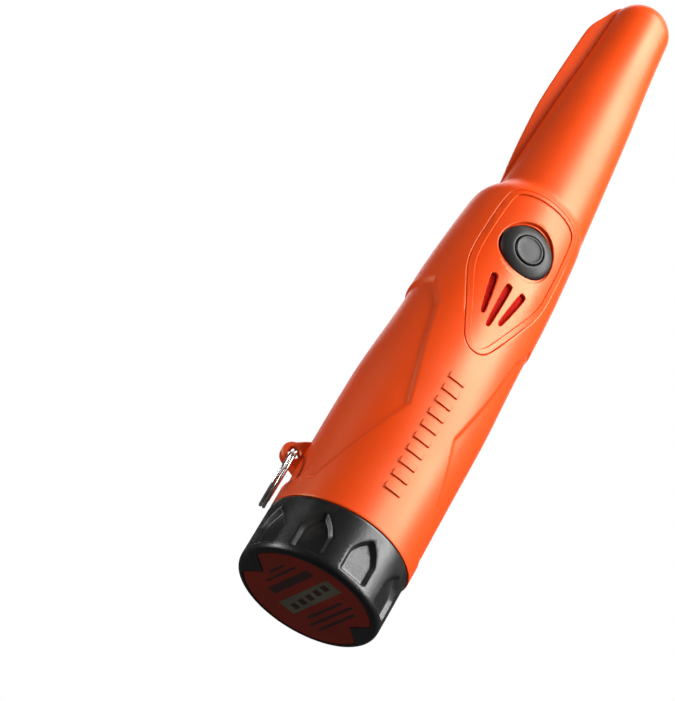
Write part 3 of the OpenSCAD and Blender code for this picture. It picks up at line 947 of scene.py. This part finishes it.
# By material slot: base colour, roughness and what else differs.
FINISH = {
    "gasket": ((0.015, 0.015, 0.015), 0.7, {}),
    "switch_body": ((0.04, 0.04, 0.045), 0.45, {}),
    "plunger": ((0.75, 0.7, 0.6), 0.4, {}),
    "sounder_case": ((0.02, 0.02, 0.022), 0.5, {}),
    "mesh": ((0.34, 0.005, 0.002), 0.8, {"specular": 0.05, "grain": (1400, 0.5),
                                         "pattern": cellular(1400, 0.6, (0.1, 0.002, 0.001, 1))}),
    "frame_plastic": ((0.62, 0.61, 0.57), 0.5, {"tone": (25, 0.06)}),
    "board": ((0.015, 0.13, 0.04), 0.35, {"pattern": banded(60, 0.5, "X")}),
    "screws": ((0.6, 0.6, 0.61), 0.3, {"metallic": 1.0}),
    "chip": ((0.02, 0.02, 0.02), 0.55, {}),
    "capacitor": ((0.03, 0.05, 0.16), 0.3, {}),
    "plug": ((0.75, 0.7, 0.58), 0.45, {}),
    "wire": ((0.5, 0.02, 0.015), 0.4, {}),
    "ferrite": ((0.04, 0.038, 0.036), 0.6, {"grain": (1200, 0.4)}),
    "bobbin": ((0.68, 0.68, 0.63), 0.45, {}),
    "coil": ((0.55, 0.19, 0.06), 0.3, {"metallic": 1.0, "pattern": banded(900, 0.7),
                                      "grain": (900, 0.6)}),
    "foam": ((0.05, 0.05, 0.055), 0.9, {"pattern": cellular(1100, 0.5, (0.01, 0.01, 0.01, 1)),
                                        "grain": (1100, 0.6)}),
    "motor_case": ((0.66, 0.66, 0.66), 0.28, {"metallic": 1.0, "pattern": banded(700, 0.15),
                                              "grain": (900, 0.1)}),
    "shaft": ((0.7, 0.7, 0.71), 0.2, {"metallic": 1.0}),
    "weight": ((0.4, 0.4, 0.41), 0.45, {"metallic": 1.0, "grain": (800, 0.3)}),
    "contact": ((0.8, 0.55, 0.2), 0.3, {"metallic": 1.0}),
    "spring": ((0.7, 0.69, 0.66), 0.25, {"metallic": 1.0}),
    "battery_jacket": ((0.03, 0.03, 0.035), 0.35, {"tone": (50, 0.2)}),
    "battery_fill": ((0.02, 0.02, 0.022), 0.6, {}),
    "terminal": ((0.7, 0.7, 0.7), 0.3, {"metallic": 1.0}),
    "seal": ((0.018, 0.018, 0.018), 0.55, {}),
}
slot_of = {s["node"]: s["material_slot"] for s in frame["record"]["subparts"]}
finishes = {}
for name, node in frame["nodes"].items():
    slot = slot_of.get(name)
    if node.hide_render or slot not in FINISH:
        continue
    if slot not in finishes:
        base, rough, more = FINISH[slot]
        finishes[slot] = material(slot + "_finish", base, rough, **more)
    if not node.material_slots:
        node.data.materials.append(finishes[slot])
    for s in node.material_slots:
        s.material = finishes[slot]


# ---------------------------------------------------------------- camera, floor, light

LOOK = Vector((0.1711, 0.8299, 0.5310)).normalized()
RIGHT = Vector((0.7764, -0.4453, 0.4459)).normalized()
RIGHT = (RIGHT - RIGHT.dot(LOOK) * LOOK).normalized()
UP = RIGHT.cross(LOOK)
CAMERA_PLACE = Vector((-0.153, -0.6061, -0.3205))

camera = bpy.data.objects.new("camera", bpy.data.cameras.new("camera"))
bpy.context.scene.collection.objects.link(camera)
camera.matrix_world = (Matrix.Translation(CAMERA_PLACE)
                       @ Matrix((RIGHT, UP, -LOOK)).transposed().to_4x4())
camera.data.sensor_width = 36
camera.data.lens = 136.5
camera.data.clip_start, camera.data.clip_end = 0.05, 60
bpy.context.scene.camera = camera

MIDDLE = Vector((0, 0, 0.118))


def softbox(name, right, up, back, distance, size, power):
    """An area light that faces the probe's middle. right, up and back are its direction from
    there in the camera's axes, with back towards the camera."""
    towards = (right * RIGHT + up * UP - back * LOOK).normalized()
    data = bpy.data.lights.new(name, "AREA")
    data.shape, data.size, data.size_y = "RECTANGLE", size[0], size[1]
    data.energy = power
    lamp = bpy.data.objects.new(name, data)
    bpy.context.scene.collection.objects.link(lamp)
    lamp.location = MIDDLE + towards * distance
    lamp.rotation_mode = "QUATERNION"
    lamp.rotation_quaternion = (-towards).to_track_quat("-Z", "Y")
    lamp.visible_camera = False


softbox("key", 1.0, 0.1, 0.1, 0.75, (0.25, 0.7), 9.0)
softbox("high_key", 1.0, 0.68, 0.15, 0.75, (0.25, 0.7), 9.0)
softbox("rim", -1.0, 0.55, 0.3, 0.6, (0.1, 0.4), 2.2)
softbox("back", 0.15, 0.3, -1.0, 1.1, (0.9, 0.9), 7.0)
softbox("front", 1.15, 0.2, 0.9, 0.75, (0.12, 0.7), 1.0)


def studio_world():
    """White behind the probe, but only a dim light on it."""
    world = bpy.data.worlds.new("studio")
    bpy.context.scene.world = world
    world.use_nodes = True
    nodes, links = world.node_tree.nodes, world.node_tree.links
    sky = nodes["Background"]
    sky.inputs["Color"].default_value = (1, 1, 1, 1)
    path = nodes.new("ShaderNodeLightPath")
    strength = nodes.new("ShaderNodeMapRange")
    links.new(path.outputs["Is Camera Ray"], strength.inputs["Value"])
    strength.inputs["To Min"].default_value = 0.08
    strength.inputs["To Max"].default_value = 1.0
    links.new(strength.outputs["Result"], sky.inputs["Strength"])


def pale_floor(half_width, z):
    """A plain floor with a glow that doesn't light the probe."""
    mesh = bpy.data.meshes.new("floor")
    w = half_width
    mesh.from_pydata([(-w, -w, z), (w, -w, z), (w, w, z), (-w, w, z)], [], [(0, 1, 2, 3)])
    paint = material("floor_paint", (0.5, 0.5, 0.5), 0.9, tone=(0.5, 0.02), grain=(40, 0.02))
    glow = paint.node_tree.nodes["Principled BSDF"].inputs
    glow["Emission Color"].default_value = (0.98, 0.98, 0.97, 1)
    glow["Emission Strength"].default_value = 0.66
    mesh.materials.append(paint)
    made = bpy.data.objects.new("floor", mesh)
    made.visible_diffuse = made.visible_glossy = False
    bpy.context.scene.collection.objects.link(made)
    return made


studio_world()
floor = pale_floor(20, -1.6)
bpy.context.scene.view_settings.view_transform = "Standard"
